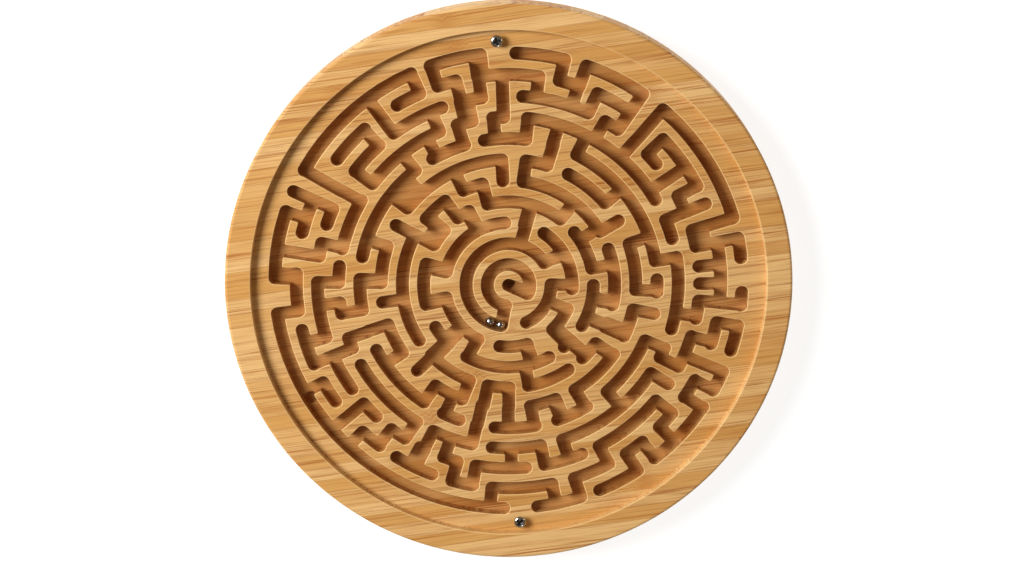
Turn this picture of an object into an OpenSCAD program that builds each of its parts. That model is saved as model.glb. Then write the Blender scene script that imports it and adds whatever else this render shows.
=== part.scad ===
// Round wooden tilt maze: a bamboo board with ring channels, a clear cover held by two
// screws, and two steel balls that roll in the channels.
// Millimetres. Origin at the centre of the underside, +Z up out of the maze, +Y to the far screw.

/* [Board] */
// Diameter of the board
board_d = 280; // [272:1:320]
// Thickness of the board at the rim
board_t = 20; // [19:0.5:30]
// Radius on the outer edges of the rim, top and bottom
edge_r = 1.5; // [1:0.5:4]
// Depth of the recess inside the rim
recess_depth = 5; // [4.95:0.05:6]
// Gap between the outermost channel and the rim
ledge_w = 8.5; // [8:0.5:10]

/* [Maze] */
// Distance from one ring of channels to the next
ring_pitch = 10.5; // [10:0.1:10.7]
// Width of every channel
channel_w = 6.4; // [6:0.1:6.8]
// Depth of the channels below the tops of the walls
channel_depth = 7; // [6:0.5:8]
// Diameter of the pits at the start and at the finish
pit_d = 6.2; // [5:0.1:6.2]
// Depth of the pits below the channel floor
pit_depth = 3.5; // [2:0.5:4]

/* [Cover] */
// Thickness of the clear cover
cover_t = 3; // [2:0.5:3]
// Gap all round between the cover and the rim
cover_gap = 0.3; // [0.2:0.1:0.8]

/* [Screws] */
// Diameter of the screw heads
head_d = 6; // [5:0.5:7]
// Height of the screw heads
head_h = 1.5; // [1.3:0.1:1.9]
// Thread diameter of the screws
thread_d = 2.8; // [2.4:0.1:3]
// Length of the screws under the head
screw_l = 9; // [7:0.5:9]

/* [Balls] */
// Diameter of the steel balls
ball_d = 4.76; // [4:0.01:5]

/* [Hidden] */
$fn = 96;

rings = 11;
ledge_z = board_t - recess_depth;
floor_z = ledge_z - channel_depth;
field_r = rings * ring_pitch + channel_w / 2;
recess_r = field_r + ledge_w;
screw_r = field_r + 3.1;
screw_top_angle = 92.7;
screw_bottom_angle = 272.7;
pilot_r = thread_d / 2 + 0.05;
over = 1;

// Channels that follow a ring: the ring counted from the centre, then the angles in degrees
// at which each stretch starts and ends. A ring between two others is a short widening.
ring_channels = [
    [1, [-25, 262]],
    [2, [34.5, 259.5], [295, 360.8]],
    [3, [-3.5, 56.4], [93.3, 166.5], [192.4, 241.4], [262.1, 286.6], [314.8, 337.5]],
    [4, [-29.6, 0], [11.6, 39.4], [52.5, 104.1], [117.5, 126], [138.7, 150.9],
        [165.1, 193.6], [210.6, 224], [240.3, 298.7], [311.3, 317.4]],
    [4.36, [138.8, 151]],
    [5, [-11.1, 20.4], [31, 82.2], [104.1, 114.9], [126.2, 140.4], [151.2, 212.5],
        [224, 248.2], [258.6, 270.4], [280.9, 304.6], [314.6, 325.2]],
    [6, [-2.2, 19.3], [41.1, 62.3], [72.6, 82.2], [93, 141.8], [161.8, 179],
        [199.1, 213], [234.9, 248.4], [280, 292], [301.7, 326], [335.6, 348.5]],
    [7, [-2.8, 2.2], [9.7, 62.9], [83.4, 99.2], [107, 120.3], [128.4, 168.8],
        [177.8, 189.9], [206.8, 234.9], [243.6, 250.4], [264.7, 280.6],
        [289.5, 302.2], [312.1, 337.2]],
    [8, [-15.5, 9.7], [16.2, 23.1], [30.8, 83.7], [91.7, 95.2], [102.3, 107.3],
        [113.6, 142.5], [149.4, 167.4], [173.5, 179.1], [186.1, 190], [198.8, 202.5],
        [209.1, 236.9], [243.4, 257.4], [264.4, 281.1], [288.9, 327.6], [334, 337.5]],
    [9, [11.9, 17.1], [23.1, 28.4], [40.1, 44.1], [55.6, 60.1], [65.8, 85.8],
        [97.9, 104.2], [110.1, 126.3], [132, 142.7], [155.9, 161.1], [167.1, 171],
        [179.1, 196.3], [202.6, 214.3], [220.1, 225.6], [231.6, 236.5],
        [249.8, 254.1], [260, 275.2], [281.3, 293], [299, 321], [333.8, 344],
        [349.6, 355]],
    [9.45, [11.9, 17.1]],
    [10, [-4.8, 11.9], [28.3, 44.1], [55.6, 65.7], [70.9, 76.4], [81.9, 98.2],
        [104.1, 109.1], [114.3, 121.1], [131.9, 143], [155.9, 165.4], [176.8, 187.1],
        [192.6, 202.7], [208.4, 214.6], [225.9, 232], [237.6, 248.5],
        [254.2, 260.1], [265.5, 282.1], [288.5, 298.5], [304.2, 309.8],
        [316.1, 321.2], [326.8, 332.4], [343.4, 349.6]],
    [11, [-5.1, -1.8], [6.9, 11.9], [17.1, 49.2], [55.6, 70.8], [76.4, 88.2],
        [96.8, 109.2], [114.2, 150], [161.2, 178.2], [187.2, 268.8], [277.3, 288.4],
        [293.4, 304.2], [309.4, 327.2], [332.2, 337.4], [343.2, 349.7]]
];

// Channels that cross from a ring to the next one out: the inner ring, then the angle of
// each. A pair is a slanted channel: its angle on the inner ring, then on the outer one.
cross_channels = [
    [1, 260.4],
    [2, [0.8, 0], [34.5, 28.8], 32.2, 74.2, 337],
    [3, 74.2, 75.6, 117.5, 119.3, 165.1, 167.8, 191.6, 193.6, 221.3, 224.5, 240.9,
        285.6, 287.2, 314, 317.4],
    [4, 11.5, 33, 52.4, 104.1, 126.3, 138.8, 140.2, 151, 222.9, 225.1, 281.2, 316.5,
        317.6, 336.6, 337.4, 349.8, 351],
    [5, 31, 82.2, 93, 114.9, 151.3, 188, 223.9, 248.3, 258.6, 270.1, 324.9, 325.6,
        335.9, 338.4],
    [6, -2.2, 19.4, 41.1, 72.7, 133, 137.5, 142, 161.9, 177.6, 178.9, 198.6, 213.2,
        234.7, 244.2, 257.8, 269.9, 280.2, 290.8, 292, 301.7, 348.6],
    [7, 9.6, 63, 73, 83.5, 95.1, 107.2, 118.4, 128.4, 189.9, 198.8, 257.4, 312, 337.4],
    [8, 23.1, 34.4, 49.5, 60.1, 91.7, 102.2, 104.4, 113.6, 142.6, 149.8, 167, 179.1,
        186.2, 202.5, 236.7, 243.3, 249.9, 270.9, 281.1, 288.8, 327.6, 333.9, 350.3],
    [9, 0.5, 5.8, 11.9, 17.1, 23, 28.4, 34.4, 44.1, 49.4, 55.6, 65.7, 71.1, 81.9,
        91.7, 98, 104.1, 126.4, 132.2, 149.9, 155.9, 171.1, 196.4, 202.5, 220, 231.6,
        242, 243.5, 254.2, 260, 298.7, 321.2, 337.5, 343.9, 355.2],
    [10, 11.9, 17.1, 49.4, 55.6, 70.9, 76.4, 96.8, 98.2, 109.1, 114.3, 126.4, 149.9,
        155.9, 161.3, 171.1, 177, 178.2, 187.2, 208.3, 220, 225.9, 265.4, 282, 288.4,
        304.2, 309.6, 316, 327, 332.3, 337.5, 349.6, 355.1]
];

// The finish is a pocket between the centre and these two angles on the first ring
pocket_angles = [-25, -16.5];
// The start pit is in the outermost ring
start_angle = 210.8;

// The balls rest in the second ring, near its outer wall. The first rolls back along it; the
// second is at the mouth of the passage to the first ring and rolls in through it.
ball_1_angle = 244.5;
ball_2_angle = 259.3;
ball_wall_gap = 0.25;
ball_clear = 0.04;

function on_ring(k, angle) = k * ring_pitch * [cos(angle), sin(angle)];

module channel_end(p) {
    translate(p) circle(d = channel_w, $fn = 20);
}

// A straight channel between two points, with round ends
module straight_channel(p, q) {
    side = channel_w / 2 / norm(q - p) * [p.y - q.y, q.x - p.x];
    polygon([p + side, p - side, q - side, q + side]);
    channel_end(p);
    channel_end(q);
}

// A channel along a ring from one angle to another, with round ends
module curved_channel(k, a0, a1) {
    step = k > 5 ? 4 : 6;
    n = ceil((a1 - a0) / step);
    out_k = k + channel_w / 2 / ring_pitch;
    in_k = k - channel_w / 2 / ring_pitch;
    polygon(concat(
        [for (i = [0:n]) on_ring(out_k, a0 + (a1 - a0) * i / n)],
        [for (i = [0:n]) on_ring(in_k, a1 - (a1 - a0) * i / n)]
    ));
    channel_end(on_ring(k, a0));
    channel_end(on_ring(k, a1));
}

module finish_pocket() {
    corners = [[0, 0], on_ring(1, pocket_angles[0]), on_ring(1, pocket_angles[1])];
    polygon(corners);
    for (i = [0:2]) straight_channel(corners[i], corners[(i + 1) % 3]);
}

module channel_plan() {
    for (row = ring_channels, i = [1:len(row) - 1])
        curved_channel(row[0], row[i][0], row[i][1]);
    for (row = cross_channels, i = [1:len(row) - 1]) {
        a_in = is_list(row[i]) ? row[i][0] : row[i];
        a_out = is_list(row[i]) ? row[i][1] : row[i];
        straight_channel(on_ring(row[0], a_in), on_ring(row[0] + 1, a_out));
    }
    finish_pocket();
}

// Half section of the blank, with rounded outer edges
module blank_section() {
    rim = board_d / 2 - edge_r;
    polygon(concat(
        [[0, 0]],
        [for (a = [-90:15:0]) [rim, edge_r] + edge_r * [cos(a), sin(a)]],
        [for (a = [0:15:90]) [rim, board_t - edge_r] + edge_r * [cos(a), sin(a)]],
        [[0, board_t]]
    ));
}

module pit(p) {
    translate([p.x, p.y, floor_z - pit_depth]) cylinder(d = pit_d, h = pit_depth + over);
}

module at_screw(angle, z) {
    rotate(angle) translate([screw_r, 0, z]) rotate(-angle) children();
}

module maze_board() {
    color("burlywood") difference() {
        rotate_extrude() blank_section();
        translate([0, 0, ledge_z]) cylinder(r = recess_r, h = recess_depth + over);
        translate([0, 0, floor_z])
            linear_extrude(channel_depth + over) offset(delta = 0) channel_plan();
        pit([0, 0]);
        pit(on_ring(rings, start_angle));
        for (angle = [screw_top_angle, screw_bottom_angle])
            at_screw(angle, ledge_z - (screw_l - cover_t) - over)
                cylinder(r = pilot_r, h = screw_l - cover_t + 2 * over, $fn = 32);
    }
}

// A flat disc with a clearance hole for each screw
module clear_cover() {
    color([0.9, 0.95, 1, 0.2]) difference() {
        translate([0, 0, ledge_z]) cylinder(r = recess_r - cover_gap, h = cover_t);
        for (angle = [screw_top_angle, screw_bottom_angle])
            at_screw(angle, ledge_z - over)
                cylinder(r = pilot_r + 0.2, h = cover_t + 2 * over, $fn = 32);
    }
}

// Half section of a screw, head up, with its seat at height 0: a point, one ridge for each
// turn of the thread, a bare neck, and a low domed head on a short edge
module screw_section() {
    core = thread_d / 2 - 0.35;
    pitch = 1;
    turns = floor((screw_l - 2.5) / pitch);
    dome_r = head_d * 0.9;
    edge_angle = acos(head_d / 2 / dome_r);
    polygon(concat(
        [[0, -screw_l], [core, -1.4 - turns * pitch]],
        [for (i = [turns - 1:-1:0], ridge = [[core, -0.6], [thread_d / 2, -0.3], [core, 0]])
            ridge - [0, 1 + i * pitch]],
        [[core, 0], [head_d / 2, 0]],
        [for (i = [0:6]) let (a = edge_angle + (90 - edge_angle) * i / 6)
            [dome_r * cos(a), head_h - dome_r + dome_r * sin(a)]]
    ));
}

module screw(angle, turn) {
    cross_l = head_d * 0.56;
    cross_w = head_d * 0.14;
    cross_depth = 1;
    color("silver") at_screw(angle, ledge_z + cover_t) difference() {
        rotate_extrude($fn = 48) screw_section();
        for (a = [0, 90]) rotate(turn + a)
            translate([-cross_l / 2, -cross_w / 2, head_h - cross_depth])
                cube([cross_l, cross_w, cross_depth + over]);
    }
}

module screw_top() {
    screw(screw_top_angle, 20);
}

module screw_bottom() {
    screw(screw_bottom_angle, 50);
}

module ball(angle) {
    play = (channel_w - ball_d) / 2;
    p = on_ring(2 + (play - ball_wall_gap) / ring_pitch, angle);
    color("lightsteelblue")
        translate([p.x, p.y, floor_z + ball_d / 2 + ball_clear]) sphere(d = ball_d, $fn = 48);
}

module ball_1() {
    ball(ball_1_angle);
}

module ball_2() {
    ball(ball_2_angle);
}

maze_board();
clear_cover();
screw_top();
screw_bottom();
ball_1();
ball_2();
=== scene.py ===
import math

import bmesh
import bpy
import numpy as np
from mathutils import Matrix, Vector, geometry


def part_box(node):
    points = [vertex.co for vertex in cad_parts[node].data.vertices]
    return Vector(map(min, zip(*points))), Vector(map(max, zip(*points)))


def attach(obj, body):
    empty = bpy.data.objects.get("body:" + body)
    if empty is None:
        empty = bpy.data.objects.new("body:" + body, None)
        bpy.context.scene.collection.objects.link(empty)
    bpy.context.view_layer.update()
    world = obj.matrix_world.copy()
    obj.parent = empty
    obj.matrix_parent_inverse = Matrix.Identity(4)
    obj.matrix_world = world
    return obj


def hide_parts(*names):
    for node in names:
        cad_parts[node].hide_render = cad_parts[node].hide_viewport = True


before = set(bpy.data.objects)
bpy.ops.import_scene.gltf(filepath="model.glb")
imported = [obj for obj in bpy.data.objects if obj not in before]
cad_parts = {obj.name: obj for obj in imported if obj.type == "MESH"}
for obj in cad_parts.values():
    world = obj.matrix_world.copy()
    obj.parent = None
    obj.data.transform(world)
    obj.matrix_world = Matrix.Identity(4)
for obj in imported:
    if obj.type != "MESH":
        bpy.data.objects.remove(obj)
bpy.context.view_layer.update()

# Sizes are in metres, as in the frame. Outlines are worked out in millimetres.
MM = 0.001
MM_TOLERANCE = 0.002      # mm, within which two heights are the same

BOARD_SEGMENTS = 360      # sides of the rim's circles
HOLE_SEGMENTS = 48        # sides of pits, screw holes and screws
BEVEL_STEPS = 3           # faces across the bevel of a wall, hole or cover
RIM_STEPS = 4             # faces across the bevel inside the rim
EDGE_STEPS = 8            # faces round each outer edge of the board
WALL_BEVEL = 0.42         # mm, on the tops of the walls
WALL_CORNER = 0.6         # mm, radius on the walls' upright corners
RIM_BEVEL = 0.7           # mm, on the inner edge of the rim
HOLE_BEVEL = 0.2          # mm, on the mouths of the screw holes
PIT_BEVEL = 0.04          # mm, on the mouths of the pits, which nearly fill their channels
COVER_BEVEL = 0.3         # mm, on the cover's edges
COVER_LIFT = 0.05         # mm, air under the cover

THREAD_RADIUS = 1.38      # mm, on the screws
THREAD_DEPTH = 0.34       # mm
THREAD_PITCH = 1.0        # mm
THREAD_START = 0.35       # mm under the head
THREAD_RUN = 0.8          # mm over which the ridge grows to its full depth
RIDGE_HALF = 0.27         # of the pitch, half the ridge's width at its foot
TIP_LENGTH = 2.2          # mm over which a screw narrows to its point
SHARP_ANGLE = math.radians(38)

# how far a normal leans above level
UP, LEVEL, DOWN = math.pi / 2, 0.0, -math.pi / 2

# the wood's finish and painted light on a face: sanded edges, lighter in part as a painted
# highlight; the rim's inside, the same; plain faces; cut faces, darker as painted shade
WORN_AND_HIGHLIT, RIM_WORN_AND_HIGHLIT, PLAIN, MILLED_AND_SHADED = 1.0, 0.55, 0.0, -1.0

GRAIN_ANGLE = math.radians(8)   # the grain rises to the right
STRIP_WIDTH = 0.007             # m, between the glue lines
NODES_PER_METRE = 3.1           # of each strip

FLOOR_HALF = 6.0          # m
FLOOR_GAP = 0.0002        # m, air under the board
FLOOR_GREY = 0.3
FLOOR_GLOW = 0.86

KEY_AZIMUTH = math.radians(158)     # from +X, so the light comes from the upper left
KEY_ELEVATION = math.radians(43.5)
KEY_DISTANCE, KEY_SIZE, KEY_WATTS = 1.5, 0.75, 25.4
# small lights: name, place from the board's centre and size, in m
GLINTS = (("glint_right", (1.1, 0.35, 1.0), 0.12), ("glint_front", (0.35, -1.0, 1.1), 0.14))
GLINT_WATTS = 0.9
SURROUND = (1.0, 0.78, 0.56, 1.0)
SURROUND_STRENGTH = 0.16

CAMERA_TILT = math.radians(13)
CAMERA_DISTANCE = 1.28    # m
CAMERA_LENS = 90.98       # mm
CAMERA_SHIFT = (0.0033, -0.0021)


# ---------------------------------------------------------------- outlines of the walls

def board_levels():
    """Heights in mm of the pit bottoms, the channel floor and the ledge."""
    co = vertex_array(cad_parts["maze_board"].data)
    inner = co[np.hypot(co[:, 0], co[:, 1]) < 0.9 * co[:, 0].max()]
    return sorted(set(np.round(inner[:, 2] / MM, 2)))[-3:]


def vertex_array(mesh):
    """The mesh's vertices, one to a row."""
    co = np.empty(3 * len(mesh.vertices))
    mesh.vertices.foreach_get("co", co)
    return co.reshape(-1, 3)


def flat_outlines(mesh, height):
    """Closed outlines in mm, with wood on the left, of the faces that look up at a height."""
    mesh.calc_loop_triangles()
    tris = np.empty(3 * len(mesh.loop_triangles), int)
    mesh.loop_triangles.foreach_get("vertices", tris)
    tris = tris.reshape(-1, 3)
    co = vertex_array(mesh) / MM
    grid, same = np.unique(np.round(co, 3), axis=0, return_inverse=True)
    tris = same.reshape(-1)[tris]
    corner = grid[tris]
    flat = np.all(np.abs(corner[:, :, 2] - height) < MM_TOLERANCE, axis=1)
    a, b, c = corner[:, 0], corner[:, 1], corner[:, 2]
    up = np.cross(b - a, c - a)[:, 2] > 0
    edges = set()
    for tri in tris[flat & up]:
        for i in range(3):
            edges.add((tri[i], tri[(i + 1) % 3]))
    following = {}
    for start, end in edges:
        if (end, start) not in edges:
            following.setdefault(start, []).append(end)
    loops = []
    while following:
        at = min(following)
        loop = []
        while at in following:
            loop.append(grid[at, :2])
            after = following[at]
            step = after.pop()
            if not after:
                del following[at]
            at = step
        loops.append(np.array(loop))
    return loops


def edge_turns(loop):
    """Length of the edge after each point, and the turn there in degrees, left positive."""
    after = np.roll(loop, -1, axis=0) - loop
    before = np.roll(after, 1, axis=0)
    cross = before[:, 0] * after[:, 1] - before[:, 1] * after[:, 0]
    dot = np.sum(before * after, axis=1)
    return np.hypot(after[:, 0], after[:, 1]), np.degrees(np.arctan2(cross, dot))


def common_radii(loops):
    """Radii from the maze's centre that many outline points share: the sides of the rings."""
    many = 12
    radius = np.round(np.concatenate([np.hypot(p[:, 0], p[:, 1]) for p in loops]), 2)
    values, counts = np.unique(radius, return_counts=True)
    return values[counts >= many]


def clean_loop(loop, radii):
    """Drops points that almost coincide, and puts those near a ring's side onto it."""
    near_ring, near_point, near_line = 0.1, 0.12, 0.02
    radius = np.hypot(loop[:, 0], loop[:, 1])
    nearest = radii[np.abs(radius[:, None] - radii[None, :]).argmin(axis=1)]
    on_ring = np.abs(radius - nearest) < near_ring
    scale = np.where(on_ring, nearest / np.maximum(radius, 1e-9), 1.0)
    loop = loop * scale[:, None]
    changed = True
    while changed and len(loop) > 4:
        length, turn = edge_turns(loop)
        across = np.roll(loop, -1, axis=0) - np.roll(loop, 1, axis=0)
        jog = length * np.roll(length, 1) * np.abs(np.sin(np.radians(turn)))
        drop = (length < near_point) | (jog < near_line * np.hypot(across[:, 0], across[:, 1]))
        drop[1:] &= ~drop[:-1]
        changed = drop.any()
        loop = loop[~drop]
    return loop


def round_corners(loop):
    """Rounds the upright corners that stand out into the channels."""
    corner_turn, step_turn, share = 25, 15, 0.45
    length, turn = edge_turns(loop)
    points = []
    for i, p in enumerate(loop):
        if turn[i] < corner_turn:
            points.append(p)
            continue
        half = math.radians(turn[i]) / 2
        room = share * min(length[i - 1], length[i])
        radius = min(WALL_CORNER, room / math.tan(half))
        reach = radius * math.tan(half)
        back = (loop[i - 1] - p) / length[i - 1]
        on = (loop[(i + 1) % len(loop)] - p) / length[i]
        bisector = (back + on) / np.hypot(*(back + on))
        centre = p + bisector * radius / math.cos(half)
        start = p + back * reach - centre
        steps = max(2, round(turn[i] / step_turn))
        for k in range(steps + 1):
            a = math.radians(turn[i]) * k / steps
            points.append(centre + [start[0] * math.cos(a) - start[1] * math.sin(a),
                                    start[0] * math.sin(a) + start[1] * math.cos(a)])
    return np.array(points)


def smooth_arcs(loop):
    """Adds points on the arcs of the rings and on the round ends of the channels."""
    ring_edge, end_edge, sharpest, wide_ring = 8, 1.2, 20, 40
    length, turn = edge_turns(loop)
    radius = np.hypot(loop[:, 0], loop[:, 1])
    points = []
    for i, p in enumerate(loop):
        j = (i + 1) % len(loop)
        q = loop[j]
        points.append(p)
        if abs(radius[i] - radius[j]) < 3 * MM_TOLERANCE and length[i] < ring_edge:
            sweep = math.atan2(p[0] * q[1] - p[1] * q[0], p @ q)
            steps_per_degree = 1.0 if radius[i] > wide_ring else 0.6
            steps = max(math.ceil(abs(math.degrees(sweep)) * steps_per_degree), 1)
            start = math.atan2(p[1], p[0])
            for k in range(1, steps):
                a = start + sweep * k / steps
                points.append(radius[i] * np.array([math.cos(a), math.sin(a)]))
        elif length[i] < end_edge and turn[i] * turn[j] > 0:
            bend = math.radians(min(abs(turn[i]), abs(turn[j]), sharpest))
            out = np.array([q[1] - p[1], p[0] - q[0]]) / 2 * math.tan(bend / 4)
            points.append((p + q) / 2 + math.copysign(1, turn[i]) * out)
    return np.array(points)


def inward(loop):
    """Unit directions from the outline into the wood, and how far a mitre reaches there."""
    after = np.roll(loop, -1, axis=0) - loop
    side = np.stack([-after[:, 1], after[:, 0]], axis=1)
    side /= np.hypot(side[:, 0], side[:, 1])[:, None]
    mean = side + np.roll(side, 1, axis=0)
    size = np.hypot(mean[:, 0], mean[:, 1])
    mean /= size[:, None]
    return mean, 1 / np.maximum(size / 2, 0.5)


def bevel_widths(loops):
    """The bevel's width at each outline point, less on tight corners and thin walls."""
    tries, reach, less = 20, 0.9, 0.8
    widths = []
    for loop in loops:
        length, turn = edge_turns(loop)
        shorter = np.minimum(length, np.roll(length, 1))
        bend = np.radians(np.maximum(turn, 0.5))
        width = np.minimum(WALL_BEVEL, 0.7 * shorter / bend)
        widths.append(ease(width))
    for _ in range(tries):
        tops = [inset_loop(loop, width) for loop, width in zip(loops, widths)]
        crossings = [v for v, source in zip(*triangulate(tops)[::3]) if not source]
        if not crossings:
            break
        for loop, width in zip(loops, widths):
            for v in crossings:
                width[np.hypot(*(loop - v).T) < reach] *= less
    return [ease(width) for width in widths]


def ease(width):
    """Lets a width that changes along a closed outline do so gradually."""
    for _ in range(3):
        near = np.minimum(np.roll(width, 1), np.roll(width, -1))
        width = np.minimum(width, near * 1.25 + 0.02)
    return width


def inset_loop(loop, width):
    """The outline moved into the wood by a width at each point."""
    direction, reach = inward(loop)
    return loop + direction * (reach * width)[:, None]


def triangulate(rows):
    """Constrained triangles over closed rows of points: vertices, edges, triangles, and for
    each vertex the points it came from, which is none where two rows cross."""
    points = [Vector(p) for row in rows for p in row]
    edges = []
    for row in rows:
        first = len(edges)
        edges += [(first + i, first + (i + 1) % len(row)) for i in range(len(row))]
    return geometry.delaunay_2d_cdt(points, edges, [], 0, 1e-5)[:4]


# ---------------------------------------------------------------- mesh building

class Builder:
    """Collects vertices, faces and, for each face corner, a normal and a finish, which also sets
    painted highlight and painted shade.
    """

    def __init__(self):
        self.points = []
        self.faces = []
        self.normals = []
        self.finish = []

    def ring(self, xy, z):
        """Adds a row of points in mm at one height and returns their numbers."""
        first = len(self.points)
        z = np.broadcast_to(z, len(xy))
        self.points.extend((x, y, h) for (x, y), h in zip(xy, z))
        return list(range(first, first + len(xy)))

    def face(self, corners, normals, finish=PLAIN):
        self.faces.append(corners)
        self.normals.extend(normals)
        self.finish.extend([finish] * len(corners))

    def strip(self, low, high, low_n, high_n, finish=PLAIN):
        """Quads between two closed rows, seen from outside with the rows running right."""
        count = len(low)
        for i in range(count):
            j = (i + 1) % count
            self.face((low[i], low[j], high[j], high[i]),
                      (low_n[i], low_n[j], high_n[j], high_n[i]), finish)

    def fill(self, rows, z_normal, keep_left, finish=PLAIN):
        """Fills the flat region on one side of closed rows of points, all at one height."""
        numbers = [n for row in rows for n in row]
        height = self.points[numbers[0]][2]
        verts, _, tris, origin = triangulate([[self.points[n][:2] for n in row]
                                                  for row in rows])
        number = [numbers[source[0]] if source else self.ring([v], height)[0]
                  for v, source in zip(verts, origin)]
        bound = {(row[i - 1], row[i]) for row in rows for i in range(len(row))}
        tris = [tuple(number[i] for i in tri) for tri in tris]
        beside = {}
        for t, tri in enumerate(tris):
            for i in range(3):
                beside[tri[i], tri[(i + 1) % 3]] = t
        inside = set()
        front = []
        for a, b in bound:
            t = beside.get((a, b) if keep_left else (b, a))
            if t is not None and t not in inside:
                inside.add(t)
                front.append(t)
        while front:
            tri = tris[front.pop()]
            for i in range(3):
                a, b = tri[i], tri[(i + 1) % 3]
                t = beside.get((b, a))
                if (a, b) in bound or (b, a) in bound or t is None or t in inside:
                    continue
                inside.add(t)
                front.append(t)
        for t in sorted(inside):
            tri = tris[t] if z_normal > 0 else tris[t][::-1]
            self.face(tri, [(0, 0, z_normal)] * 3, finish)

    def mesh(self, name):
        mesh = bpy.data.meshes.new(name)
        mesh.from_pydata([(x * MM, y * MM, z * MM) for x, y, z in self.points], [], self.faces)
        mesh.update()
        mesh.normals_split_custom_set([Vector(n).normalized() for n in self.normals])
        finish = mesh.attributes.new("finish", "FLOAT", "CORNER")
        finish.data.foreach_set("value", np.array(self.finish, np.float32))
        return mesh


def circle(radius, segments, centre=(0.0, 0.0)):
    """Points in mm on a circle, one to a row."""
    a = np.arange(segments) * 2 * math.pi / segments
    return np.stack([centre[0] + radius * np.cos(a), centre[1] + radius * np.sin(a)], axis=1)


def flat_normals(directions, rise):
    """Normals that lean from level directions towards +Z by an angle in radians."""
    return [(x * math.cos(rise), y * math.cos(rise), math.sin(rise)) for x, y in directions]


def lathe(builder, section, segments, centre=(0.0, 0.0)):
    """Turns a section, a list of (radius, height, normal lean, finish with painted light), about an
    upright axis.
    Two points at one place with different leans make a sharp edge. Returns the rows."""
    unit = circle(1.0, segments)
    rows = []
    for radius, height, _, _ in section:
        same = rows and section[len(rows) - 1][:2] == (radius, height)
        rows.append(rows[-1] if same else builder.ring(circle(radius, segments, centre), height))
    for k in range(len(section) - 1):
        if rows[k] is rows[k + 1]:
            continue
        builder.strip(rows[k], rows[k + 1],
                      flat_normals(unit, section[k][2]), flat_normals(unit, section[k + 1][2]),
                      min(section[k][3], section[k + 1][3]))
    return rows


def arc_section(radius, height, size, lean_from, lean_to, steps=BEVEL_STEPS):
    """Section points round an edge whose arc's centre is (radius, height)."""
    points = []
    for k in range(steps + 1):
        lean = lean_from + (lean_to - lean_from) * k / steps
        points.append((radius + size * math.cos(lean), height + size * math.sin(lean),
                       lean, PLAIN))
    return points


def add_object(name, mesh, body, material, nodes):
    """A visible piece, and what the frame needs to know of it."""
    made = bpy.data.objects.new(name, mesh)
    bpy.context.scene.collection.objects.link(made)
    if not mesh.materials:
        mesh.materials.append(material)
    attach(made, body)
    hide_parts(*nodes)


# ---------------------------------------------------------------- the board

def round_place(loop):
    """Centre and radius in mm of an outline that is a circle."""
    lowest, highest = loop.min(axis=0), loop.max(axis=0)
    return (lowest + highest) / 2, max(highest - lowest) / 2


def split_outlines(loops):
    """Sorts the ledge's outlines into the recess's circle, the screw holes and the walls."""
    widest_hole, near_circle = 4, 0.1
    span = [np.hypot(p[:, 0], p[:, 1]) for p in loops]
    outer = max(r.max() for r in span)
    walls, holes = [], []
    for loop, radius in zip(loops, span):
        place = round_place(loop)
        if radius.min() > outer - near_circle:
            continue
        if 2 * place[1] < widest_hole and edge_turns(loop)[1].max() < 0:
            holes.append(place)
        else:
            walls.append(loop)
    return outer, walls, holes


def pit_rows(builder, centre, radius, mouth_z, bottom_z, bevel):
    """A pit or screw hole with a small bevel at its mouth. Returns the row at the mouth."""
    unit = circle(-1.0, HOLE_SEGMENTS)
    rows = []
    for k in range(BEVEL_STEPS + 1):
        lean = UP * (1 - k / BEVEL_STEPS)
        r = radius + bevel * (1 - math.cos(lean))
        z = mouth_z - bevel * (1 - math.sin(lean))
        rows.append((builder.ring(circle(r, HOLE_SEGMENTS, centre), z),
                     flat_normals(unit, lean)))
    rows.append((builder.ring(circle(radius, HOLE_SEGMENTS, centre), bottom_z),
                 flat_normals(unit, LEVEL)))
    for (above, above_n), (below, below_n) in zip(rows, rows[1:]):
        # the pit's faces are cut faces, painted darker as shade
        builder.strip(above, below, above_n, below_n, MILLED_AND_SHADED)
    builder.face(tuple(rows[-1][0]), [(0, 0, 1)] * HOLE_SEGMENTS, MILLED_AND_SHADED)
    return rows[0][0]


def edge_radius(mesh):
    """Radius in mm of the board's outer edges: where its upright side starts."""
    near_side = 0.01
    co = vertex_array(mesh) / MM
    radius = np.hypot(co[:, 0], co[:, 1])
    return co[radius > radius.max() - near_side, 2].min()


def build_wall(builder, loop, width, top_z, floor_z):
    """A wall with a bevelled top edge. Returns its rows at the top and at the floor."""
    outwards = -inward(loop)[0]
    rows = []
    for k in range(BEVEL_STEPS + 1):
        lean = UP * (1 - k / BEVEL_STEPS)
        inset = inset_loop(loop, width * (1 - math.cos(lean)))
        height = top_z - width * (1 - math.sin(lean))
        rows.append((builder.ring(inset, height), flat_normals(outwards, lean)))
    rows.append((builder.ring(loop, floor_z), flat_normals(outwards, LEVEL)))
    for k, ((above, above_n), (below, below_n)) in enumerate(zip(rows, rows[1:])):
        # the bevel gets lighter wood, partly sanded wear and partly a painted highlight; the wall
        # below gets painted shade
        builder.strip(below, above, below_n, above_n, WORN_AND_HIGHLIT if k < BEVEL_STEPS else MILLED_AND_SHADED)
    return rows[0][0], rows[-1][0]


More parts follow.
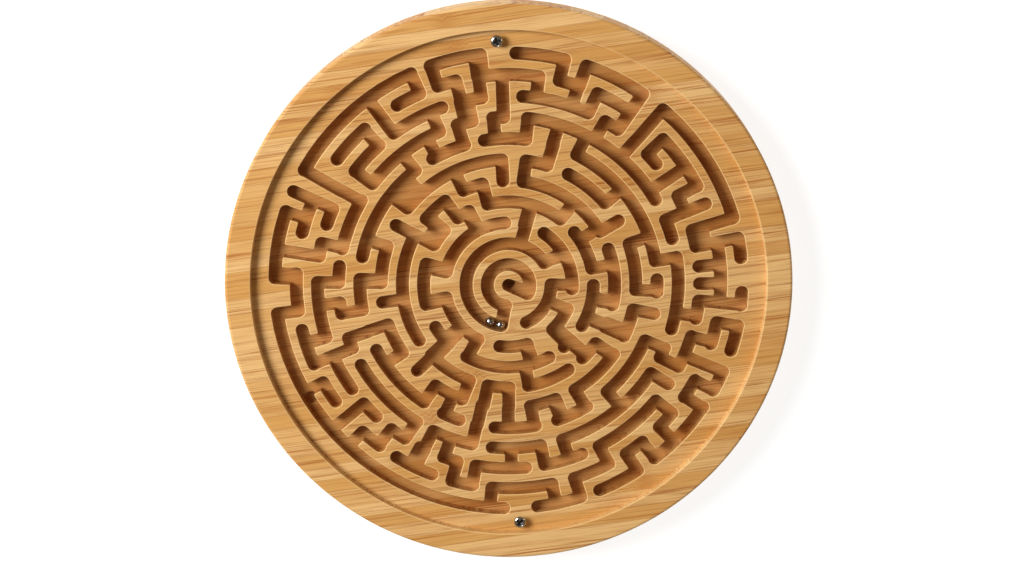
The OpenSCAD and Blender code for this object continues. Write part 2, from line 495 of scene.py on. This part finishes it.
def rim_section(recess_r, ledge_z, board_r, top_z, edge_r):
    """The rim's section, from the underside round the outer edges to the foot of the recess."""
    # the recess wall and the rim's inner bevel get lighter wood, partly wear and partly a painted
    # highlight
    section = [(recess_r, ledge_z, math.pi, RIM_WORN_AND_HIGHLIT)]
    section += [(recess_r + RIM_BEVEL - RIM_BEVEL * math.cos(lean),
                 top_z - RIM_BEVEL + RIM_BEVEL * math.sin(lean), math.pi - lean, RIM_WORN_AND_HIGHLIT)
                for lean in np.linspace(LEVEL, UP, RIM_STEPS + 1)]
    section.append((board_r - edge_r, top_z, UP, PLAIN))
    section += arc_section(board_r - edge_r, top_z - edge_r, edge_r, UP, LEVEL, EDGE_STEPS)[1:]
    section += arc_section(board_r - edge_r, edge_r, edge_r, LEVEL, DOWN, EDGE_STEPS)
    return section[::-1]


def build_board(material):
    """The board in one closed mesh: walls, pits, screw holes, rim, side and underside."""
    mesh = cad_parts["maze_board"].data
    pit_z, floor_z, ledge_z = board_levels()
    recess_r, walls, holes = split_outlines(flat_outlines(mesh, ledge_z))
    radii = common_radii(walls)
    loops = [smooth_arcs(round_corners(clean_loop(loop, radii))) for loop in walls]
    builder = Builder()
    tops, floors = [], []
    for loop, width in zip(loops, bevel_widths(loops)):
        top, foot = build_wall(builder, loop, width, ledge_z, floor_z)
        tops.append(top)
        floors.append(foot)

    pits = [pit_rows(builder, *round_place(loop), floor_z, pit_z, PIT_BEVEL)
            for loop in flat_outlines(mesh, pit_z)]
    # the channel floors are cut faces, painted darker as shade
    builder.fill(floors + pits, 1.0, False, MILLED_AND_SHADED)
    screw_holes = [pit_rows(builder, centre, radius, ledge_z, floor_z, HOLE_BEVEL)
                   for centre, radius in holes]

    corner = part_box("maze_board")[1]
    section = rim_section(recess_r, ledge_z, corner.x / MM, corner.z / MM, edge_radius(mesh))
    rows = lathe(builder, section, BOARD_SEGMENTS)
    builder.fill([rows[-1]] + [row[::-1] for row in screw_holes] + tops, 1.0, True)
    builder.face(tuple(rows[0][::-1]), [(0, 0, -1)] * BOARD_SEGMENTS)
    add_object("bamboo_board", builder.mesh("bamboo_board"), "board",
               material, ["maze_board"])


# ---------------------------------------------------------------- cover, screws and balls

def build_cover(material):
    """The clear disc with fine bevels on its edges and at its screw holes."""
    lo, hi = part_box("clear_cover")
    low, high = lo.z / MM + COVER_LIFT, hi.z / MM
    edge_r = hi.x / MM - COVER_BEVEL
    builder = Builder()
    section = arc_section(edge_r, low + COVER_BEVEL, COVER_BEVEL, DOWN, LEVEL)
    section += arc_section(edge_r, high - COVER_BEVEL, COVER_BEVEL, LEVEL, UP)
    rows = lathe(builder, section, BOARD_SEGMENTS)
    outlines = flat_outlines(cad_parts["clear_cover"].data, hi.z / MM)
    holes = [place for place in map(round_place, outlines) if place[1] < edge_r / 2]
    mouths_low, mouths_high = [], []
    for centre, radius in sorted(holes, key=lambda place: -place[0][1]):
        mouth_r = radius + COVER_BEVEL
        section = arc_section(mouth_r, high - COVER_BEVEL, COVER_BEVEL, UP, math.pi)
        section += arc_section(mouth_r, low + COVER_BEVEL, COVER_BEVEL, math.pi, 3 * UP)
        hole = lathe(builder, section, HOLE_SEGMENTS, centre)
        mouths_high.append(hole[0][::-1])
        mouths_low.append(hole[-1][::-1])
    builder.fill([rows[-1]] + mouths_high, 1.0, True)
    builder.fill([rows[0]] + mouths_low, -1.0, True)
    add_object("clear_cover_disc", builder.mesh("clear_cover_disc"), "board",
               material, ["clear_cover"])


def head_profile(head_r, head_h):
    """Head outline from the crown to the seat, as (radius, height) points."""
    return [(head_r * across, head_h * up) for across, up in (
        (0.0, 1.0), (0.22, 0.995), (0.42, 0.98), (0.6, 0.95), (0.76, 0.88),
        (0.88, 0.76), (0.96, 0.57), (1.0, 0.33), (0.995, 0.1), (0.97, 0.0))]


def thread_radius(angle, height, length):
    """The thread's radius in mm at an angle and at a height below the seat."""
    core_r = THREAD_RADIUS - THREAD_DEPTH
    taper = min(1.0, (length + height) / TIP_LENGTH)
    start = min(1.0, (-height - THREAD_START) / THREAD_RUN)
    phase = (height / THREAD_PITCH - angle / (2 * math.pi)) % 1.0
    ridge = max(0.0, 1 - abs(phase - 0.5) / RIDGE_HALF)
    radius = core_r * max(taper, 0.04) + THREAD_DEPTH * ridge * start * taper ** 0.5
    return min(radius, max(THREAD_RADIUS * taper ** 0.7, 0.05))


def screw_mesh(name, head_r, head_h, length):
    """A head on a helical thread that ends in a point, in mm about the screw's own axis."""
    angles = np.arange(HOLE_SEGMENTS) * 2 * math.pi / HOLE_SEGMENTS
    core_r = THREAD_RADIUS - THREAD_DEPTH
    made = bmesh.new()
    crown = made.verts.new((0, 0, head_h))
    rings = []
    for r, h in head_profile(head_r, head_h)[1:] + [(core_r + 0.25, 0.0), (core_r, -0.25)]:
        rings.append([made.verts.new((r * math.cos(a), r * math.sin(a), h)) for a in angles])
    for h in np.arange(-THREAD_START, -length + 0.04, -THREAD_PITCH / 12):
        radii = [thread_radius(a, h, length) for a in angles]
        rings.append([made.verts.new((r * math.cos(a), r * math.sin(a), h))
                      for r, a in zip(radii, angles)])
    point = made.verts.new((0, 0, -length))
    for i in range(HOLE_SEGMENTS):
        j = (i + 1) % HOLE_SEGMENTS
        made.faces.new((crown, rings[0][i], rings[0][j]))
        made.faces.new((point, rings[-1][j], rings[-1][i]))
        for upper, lower in zip(rings, rings[1:]):
            made.faces.new((upper[i], lower[i], lower[j], upper[j]))
    mesh = bpy.data.meshes.new(name)
    made.to_mesh(mesh)
    made.free()
    return mesh


def cut_away(mesh, cutter):
    """A new mesh: the first less the second, whose material the cut faces keep."""
    body = bpy.data.objects.new("uncut", mesh)
    tool = bpy.data.objects.new("cutter", cutter)
    for o in (body, tool):
        bpy.context.scene.collection.objects.link(o)
    cut = body.modifiers.new("cut", "BOOLEAN")
    cut.object = tool
    cut.operation = "DIFFERENCE"
    cut.solver = "EXACT"
    cut.use_self = True
    cut.material_mode = "TRANSFER"
    bpy.context.view_layer.update()
    done = bpy.data.meshes.new_from_object(
        body.evaluated_get(bpy.context.evaluated_depsgraph_get()))
    for o in (body, tool):
        bpy.data.objects.remove(o)
    return done


def build_screw(node, material, recess_shade_material, turn):
    """A pan-head screw: a domed head with a cross recess, and a helical thread to a point."""
    lo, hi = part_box(node)
    centre = (lo + hi) / 2 / MM
    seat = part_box("clear_cover")[1].z / MM
    head_r = (hi.x - lo.x) / 2 / MM
    head_h = hi.z / MM - seat
    mesh = screw_mesh(node, head_r, head_h, seat - lo.z / MM)
    mesh.materials.append(material)
    cutter = cross_cutter(head_r, head_h, turn)
    # the recess faces take near-black steel: painted shade in the cross
    cutter.materials.append(recess_shade_material)
    done = cut_away(mesh, cutter)
    done.transform(Matrix.Translation((centre.x * MM, centre.y * MM, seat * MM))
                   @ Matrix.Scale(MM, 4))
    done.name = node + "_steel"
    for polygon in done.polygons:
        polygon.use_smooth = True
    done.set_sharp_from_angle(angle=SHARP_ANGLE)
    add_object(node + "_steel", done, "board", material, [node])


def cross_cutter(head_r, head_h, turn):
    """The tapered cross of the driver's recess, in mm about the head's own axis."""
    made = bmesh.new()
    depth, over = head_h * 0.7, 0.3
    for quarter in range(2):
        a = math.radians(turn + 90 * quarter)
        long, wide = head_r * 0.7, head_r * 0.2
        corners = []
        for h, reach, half in ((head_h + over, long * 1.06, wide * 1.1),
                               (head_h - depth * 0.8, long * 0.55, wide * 0.82),
                               (head_h - depth, long * 0.2, wide * 0.6)):
            ring = []
            for x, y in ((reach, -half), (reach, half), (-reach, half), (-reach, -half)):
                ring.append(made.verts.new((x * math.cos(a) - y * math.sin(a),
                                            x * math.sin(a) + y * math.cos(a),
                                            h + 0.001 * quarter)))
            corners.append(ring)
        made.faces.new(corners[0])
        made.faces.new(corners[-1][::-1])
        for upper, lower in zip(corners, corners[1:]):
            for i in range(4):
                j = (i + 1) % 4
                made.faces.new((upper[j], upper[i], lower[i], lower[j]))
    mesh = bpy.data.meshes.new("cross")
    made.to_mesh(mesh)
    made.free()
    return mesh


def build_ball(node, material):
    """A finely divided bearing ball in the CAD ball's place."""
    lo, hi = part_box(node)
    made = bmesh.new()
    bmesh.ops.create_icosphere(made, subdivisions=5, radius=(hi.z - lo.z) / 2)
    for face in made.faces:
        face.smooth = True
    mesh = bpy.data.meshes.new(node + "_steel")
    made.to_mesh(mesh)
    made.free()
    mesh.transform(Matrix.Translation((lo + hi) / 2))
    add_object(node + "_steel", mesh, node, material, [node])


# ---------------------------------------------------------------- materials

def colour(red, green, blue):
    """A linear colour from one as seen on a screen, 0 to 255."""
    def linear(v):
        v /= 255
        return v / 12.92 if v <= 0.04045 else ((v + 0.055) / 1.055) ** 2.4
    return (linear(red), linear(green), linear(blue), 1.0)


class Shader:
    """A material's nodes, with short calls to add and join them."""

    def __init__(self, name):
        self.material = bpy.data.materials.new(name)
        self.material.use_nodes = True
        self.nodes = self.material.node_tree.nodes
        self.links = self.material.node_tree.links
        self.surface = self.nodes["Principled BSDF"]

    def feed(self, socket, value):
        if isinstance(value, bpy.types.NodeSocket):
            self.links.new(value, socket)
        else:
            socket.default_value = value

    def add(self, kind, inputs, **settings):
        made = self.nodes.new("ShaderNode" + kind)
        for key, value in settings.items():
            setattr(made, key, value)
        for key, value in inputs.items():
            self.feed(made.inputs[key], value)
        return made

    def math(self, operation, a, b=0.0, c=0.0):
        return self.add("Math", {0: a, 1: b, 2: c}, operation=operation).outputs[0]

    def ramp(self, value, low, high, to_low=0.0, to_high=1.0, smooth=True):
        return self.add("MapRange", {"Value": value, "From Min": low, "From Max": high,
                                     "To Min": to_low, "To Max": to_high}, clamp=True,
                        interpolation_type="SMOOTHSTEP" if smooth else "LINEAR").outputs[0]

    def mix(self, amount, a, b, blend="MIX"):
        made = self.add("Mix", {}, data_type="RGBA", blend_type=blend)
        self.feed(made.inputs[0], amount)
        self.feed(made.inputs[6], a)
        self.feed(made.inputs[7], b)
        return made.outputs[2]

    def vector(self, x, y, z):
        return self.add("CombineXYZ", {0: x, 1: y, 2: z}).outputs[0]

    def noise(self, vector, scale, detail=3.0, rough=0.55, distortion=0.0):
        return self.add("TexNoise", {"Vector": vector, "Scale": scale, "Detail": detail,
                                     "Roughness": rough, "Distortion": distortion}).outputs[0]

    def bump(self, height, distance, strength=1.0):
        return self.add("Bump", {"Height": height, "Distance": distance,
                                 "Strength": strength}).outputs[0]


def bamboo():
    """Laminated bamboo strips on edge: seams, fibres, node marks, sanded edges lighter in part as a
    painted highlight, and cut faces darker as painted shade.
    """
    s = Shader("bamboo")
    place = s.add("TexCoord", {}).outputs["Object"]
    turned = s.add("Mapping", {"Vector": place, "Rotation": (0, 0, -GRAIN_ANGLE)}).outputs[0]
    split = s.add("SeparateXYZ", {"Vector": turned})
    along, across, height = split.outputs[0], split.outputs[1], split.outputs[2]

    # strips between glue lines, each with its own tone
    strip = s.math("MULTIPLY", across, 1 / STRIP_WIDTH)
    cells = s.add("TexVoronoi", {"W": strip, "Scale": 1.0, "Randomness": 0.6},
                  voronoi_dimensions="1D", feature="F1")
    edge = s.add("TexVoronoi", {"W": strip, "Scale": 1.0, "Randomness": 0.6},
                 voronoi_dimensions="1D", feature="DISTANCE_TO_EDGE").outputs["Distance"]
    cell = s.add("SeparateColor", {"Color": cells.outputs["Color"]})
    tone, shift = cell.outputs[0], cell.outputs[1]
    seam = s.ramp(edge, 0.0, 0.035, 1.0, 0.0)

    # a node crosses each strip here and there, where the fibres bend to and fro
    period = s.math("FRACT", s.math("MULTIPLY_ADD", along, NODES_PER_METRE,
                                    s.math("MULTIPLY_ADD", shift, 0.7, 0.13)))
    ragged = s.noise(s.vector(0.0, s.math("MULTIPLY", across, 700.0), tone), 1.0, 2.0)
    from_node = s.math("ABSOLUTE", s.math("SUBTRACT", s.math(
        "MULTIPLY_ADD", ragged, 0.012, period), 0.506))
    near_node = s.ramp(from_node, 0.0, 0.03, 1.0, 0.0)
    wave = s.noise(s.vector(s.math("MULTIPLY", along, 330.0),
                            s.math("MULTIPLY", across, 60.0), shift), 1.0, 1.0)
    kink = s.math("MULTIPLY", near_node, s.math("MULTIPLY_ADD", wave, 0.008, -0.004))

    # fibres: long thin streaks, gathered into darker bands
    own = s.math("MULTIPLY_ADD", shift, 0.37, along)
    wavy = s.noise(s.vector(s.math("MULTIPLY", along, 9.0), s.math("MULTIPLY", across, 30.0),
                            shift), 1.0, 2.0)
    bent = s.math("ADD", s.math("MULTIPLY_ADD", wavy, 0.0012, across), kink)

    def streaks(length, width, depth, detail):
        return s.noise(s.vector(s.math("MULTIPLY", own, 1 / length),
                                s.math("MULTIPLY", bent, 1 / width),
                                s.math("MULTIPLY", height, 1 / depth)), 1.0, detail, 0.55)

    band = s.ramp(streaks(0.16, 0.0042, 0.02, 2.0), 0.42, 0.64)
    streak = s.ramp(streaks(0.055, 0.0008, 0.008, 2.0), 0.5, 0.66)
    thread = s.ramp(streaks(0.05, 0.00047, 0.006, 1.0), 0.58, 0.68)
    fibre = streaks(0.018, 0.00034, 0.004, 2.0)
    fine = s.ramp(fibre, 0.4, 0.72)
    patch = s.ramp(s.noise(s.vector(s.math("MULTIPLY", own, 9.0),
                                    s.math("MULTIPLY", across, 70.0), height), 1.0, 2.0),
                   0.42, 0.75)

    light, mid, dark = colour(240, 196, 130), colour(222, 168, 94), colour(180, 104, 32)
    base = s.mix(s.ramp(tone, 0.1, 0.9), light, mid)
    base = s.mix(s.math("MULTIPLY", patch, 0.4), base, colour(206, 146, 72))
    base = s.mix(s.math("MULTIPLY", streak, s.math("MULTIPLY_ADD", band, 0.55, 0.25)), base, dark)
    base = s.mix(s.math("MULTIPLY", thread, s.math("MULTIPLY_ADD", band, 0.35, 0.3)), base,
                 colour(150, 82, 26))
    base = s.mix(s.math("MULTIPLY", fine, s.math("MULTIPLY_ADD", band, 0.25, 0.22)),
                 base, colour(160, 92, 32))
    base = s.mix(s.math("MULTIPLY", seam, 0.4), base, colour(150, 86, 32))
    base = s.mix(s.math("MULTIPLY", near_node, 0.3), base, dark)
    finish = s.add("Attribute", {}, attribute_name="finish").outputs["Fac"]
    # cut faces are darkened and reddened: painted shade in the channels and pits
    painted_shade = s.ramp(finish, -0.1, -0.9)
    wear_and_highlight = s.ramp(finish, 0.1, 0.9)
    base = s.mix(painted_shade, base, s.mix(1.0, base, (0.74, 0.61, 0.47, 1.0), "MULTIPLY"))
    # sanded edges and the rim's inside are lightened: partly wear, partly a painted highlight
    base = s.mix(s.math("MULTIPLY", wear_and_highlight, 0.65), base, colour(255, 216, 150))
    s.feed(s.surface.inputs["Base Color"], base)
    s.feed(s.surface.inputs["Roughness"], s.ramp(fibre, 0.3, 0.8, 0.5, 0.62, smooth=False))
    s.surface.inputs["Specular IOR Level"].default_value = 0.3
    relief = s.math("MULTIPLY_ADD", seam, -0.8, s.math("MULTIPLY", fibre, 0.5))
    s.feed(s.surface.inputs["Normal"], s.bump(relief, 0.00006, 0.6))
    return s.material


def acrylic():
    """Clear acrylic: almost invisible, with faint smears in its gloss."""
    s = Shader("acrylic")
    place = s.add("TexCoord", {}).outputs["Object"]
    smear = s.noise(place, 45.0, 4.0, 0.6, 0.8)
    s.surface.inputs["Base Color"].default_value = colour(244, 248, 250)
    s.surface.inputs["Transmission Weight"].default_value = 1.0
    s.surface.inputs["Alpha"].default_value = 0.06
    s.surface.inputs["IOR"].default_value = 1.49
    s.feed(s.surface.inputs["Roughness"], s.ramp(smear, 0.4, 0.75, 0.03, 0.1))
    return s.material


def steel(name, tint, rough_low, rough_high, scratch):
    """Bright steel with fine scratches that differ in gloss."""
    s = Shader(name)
    place = s.add("TexCoord", {}).outputs["Object"]
    cloud = s.noise(place, 900.0, 4.0, 0.6)
    turned = s.add("Mapping", {"Vector": place, "Rotation": (0.4, 0.9, 0.6),
                               "Scale": (300.0, 9000.0, 9000.0)}).outputs[0]
    lines = s.noise(turned, 1.0, 2.0, 0.5)
    s.surface.inputs["Metallic"].default_value = 1.0
    s.feed(s.surface.inputs["Base Color"],
           s.mix(s.ramp(cloud, 0.35, 0.7), tint, tuple(0.86 * v for v in tint[:3]) + (1.0,)))
    s.feed(s.surface.inputs["Roughness"], s.ramp(lines, 0.4, 0.75, rough_low, rough_high))
    s.feed(s.surface.inputs["Normal"], s.bump(lines, scratch, 0.5))
    return s.material


# ---------------------------------------------------------------- stage, light and camera

def aimed(made, place, target):
    """Puts a light at a place and turns it to face its target."""
    made.location = place
    made.rotation_mode = "QUATERNION"
    made.rotation_quaternion = (Vector(target) - Vector(place)).to_track_quat("-Z", "Y")
    bpy.context.scene.collection.objects.link(made)


def build_stage():
    """A floor just under the board, which glows so that it stays almost white."""
    s = Shader("floor")
    s.surface.inputs["Base Color"].default_value = (FLOOR_GREY, FLOOR_GREY, FLOOR_GREY, 1.0)
    s.surface.inputs["Roughness"].default_value = 0.9
    s.surface.inputs["Emission Color"].default_value = (1.0, 1.0, 1.0, 1.0)
    s.surface.inputs["Emission Strength"].default_value = FLOOR_GLOW
    mesh = bpy.data.meshes.new("floor")
    corners = [(FLOOR_HALF * x, FLOOR_HALF * y, 0) for x, y in ((-1, -1), (1, -1), (1, 1), (-1, 1))]
    mesh.from_pydata(corners, [], [(0, 1, 2, 3)])
    mesh.materials.append(s.material)
    floor = bpy.data.objects.new("floor", mesh)
    floor.location.z = -FLOOR_GAP
    bpy.context.scene.collection.objects.link(floor)


def area_light(name, place, target, size, watts):
    """A round light that faces its target."""
    lamp = bpy.data.lights.new(name, "AREA")
    lamp.shape = "DISK"
    lamp.size = size
    lamp.energy = watts
    aimed(bpy.data.objects.new(name, lamp), place, target)


def build_light(centre):
    """A soft key light from the upper left, two small lights that glint on the steel, and a
    dim warm surround."""
    towards_key = Vector((math.cos(KEY_ELEVATION) * math.cos(KEY_AZIMUTH),
                          math.cos(KEY_ELEVATION) * math.sin(KEY_AZIMUTH),
                          math.sin(KEY_ELEVATION)))
    area_light("key", centre + KEY_DISTANCE * towards_key, centre, KEY_SIZE, KEY_WATTS)
    for name, offset, size in GLINTS:
        area_light(name, centre + Vector(offset), centre, size, GLINT_WATTS)
    world = bpy.data.worlds.new("surround")
    world.use_nodes = True
    background = world.node_tree.nodes["Background"]
    background.inputs["Color"].default_value = SURROUND
    background.inputs["Strength"].default_value = SURROUND_STRENGTH
    bpy.context.scene.world = world
    bpy.context.scene.view_settings.view_transform = "Standard"


def build_camera(target):
    """A long lens almost straight above the board, a little towards +Y, which is up in the
    picture."""
    data = bpy.data.cameras.new("camera")
    data.lens = CAMERA_LENS
    data.sensor_width = 36.0
    data.shift_x, data.shift_y = CAMERA_SHIFT
    back = Vector((0, math.sin(CAMERA_TILT), math.cos(CAMERA_TILT)))
    camera = bpy.data.objects.new("camera", data)
    camera.location = target + back * CAMERA_DISTANCE
    camera.rotation_mode = "QUATERNION"
    camera.rotation_quaternion = upright(back)
    bpy.context.scene.collection.objects.link(camera)
    bpy.context.scene.camera = camera


def upright(back):
    """A camera's turn that looks against back with +Y up in the picture."""
    right = Vector((1, 0, 0))
    return Matrix((right, back.cross(right), back)).transposed().to_quaternion()


wood = bamboo()
build_board(wood)
build_cover(acrylic())
screw_steel = steel("screw_steel", (0.62, 0.62, 0.61, 1.0), 0.13, 0.26, 0.000004)
# near-black steel that lines the cross recess: painted shade in the recess
recess_shade_steel = steel("recess_shade_steel", (0.05, 0.05, 0.05, 1.0), 0.35, 0.55, 0.00001)
build_screw("screw_top", screw_steel, recess_shade_steel, 20)
build_screw("screw_bottom", screw_steel, recess_shade_steel, 50)
ball_steel = steel("ball_steel", (0.5, 0.53, 0.58, 1.0), 0.08, 0.15, 0.000001)
build_ball("ball_1", ball_steel)
build_ball("ball_2", ball_steel)

wall_tops = Vector((0, 0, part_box("clear_cover")[0].z))
build_stage()
build_light(wall_tops)
build_camera(wall_tops)
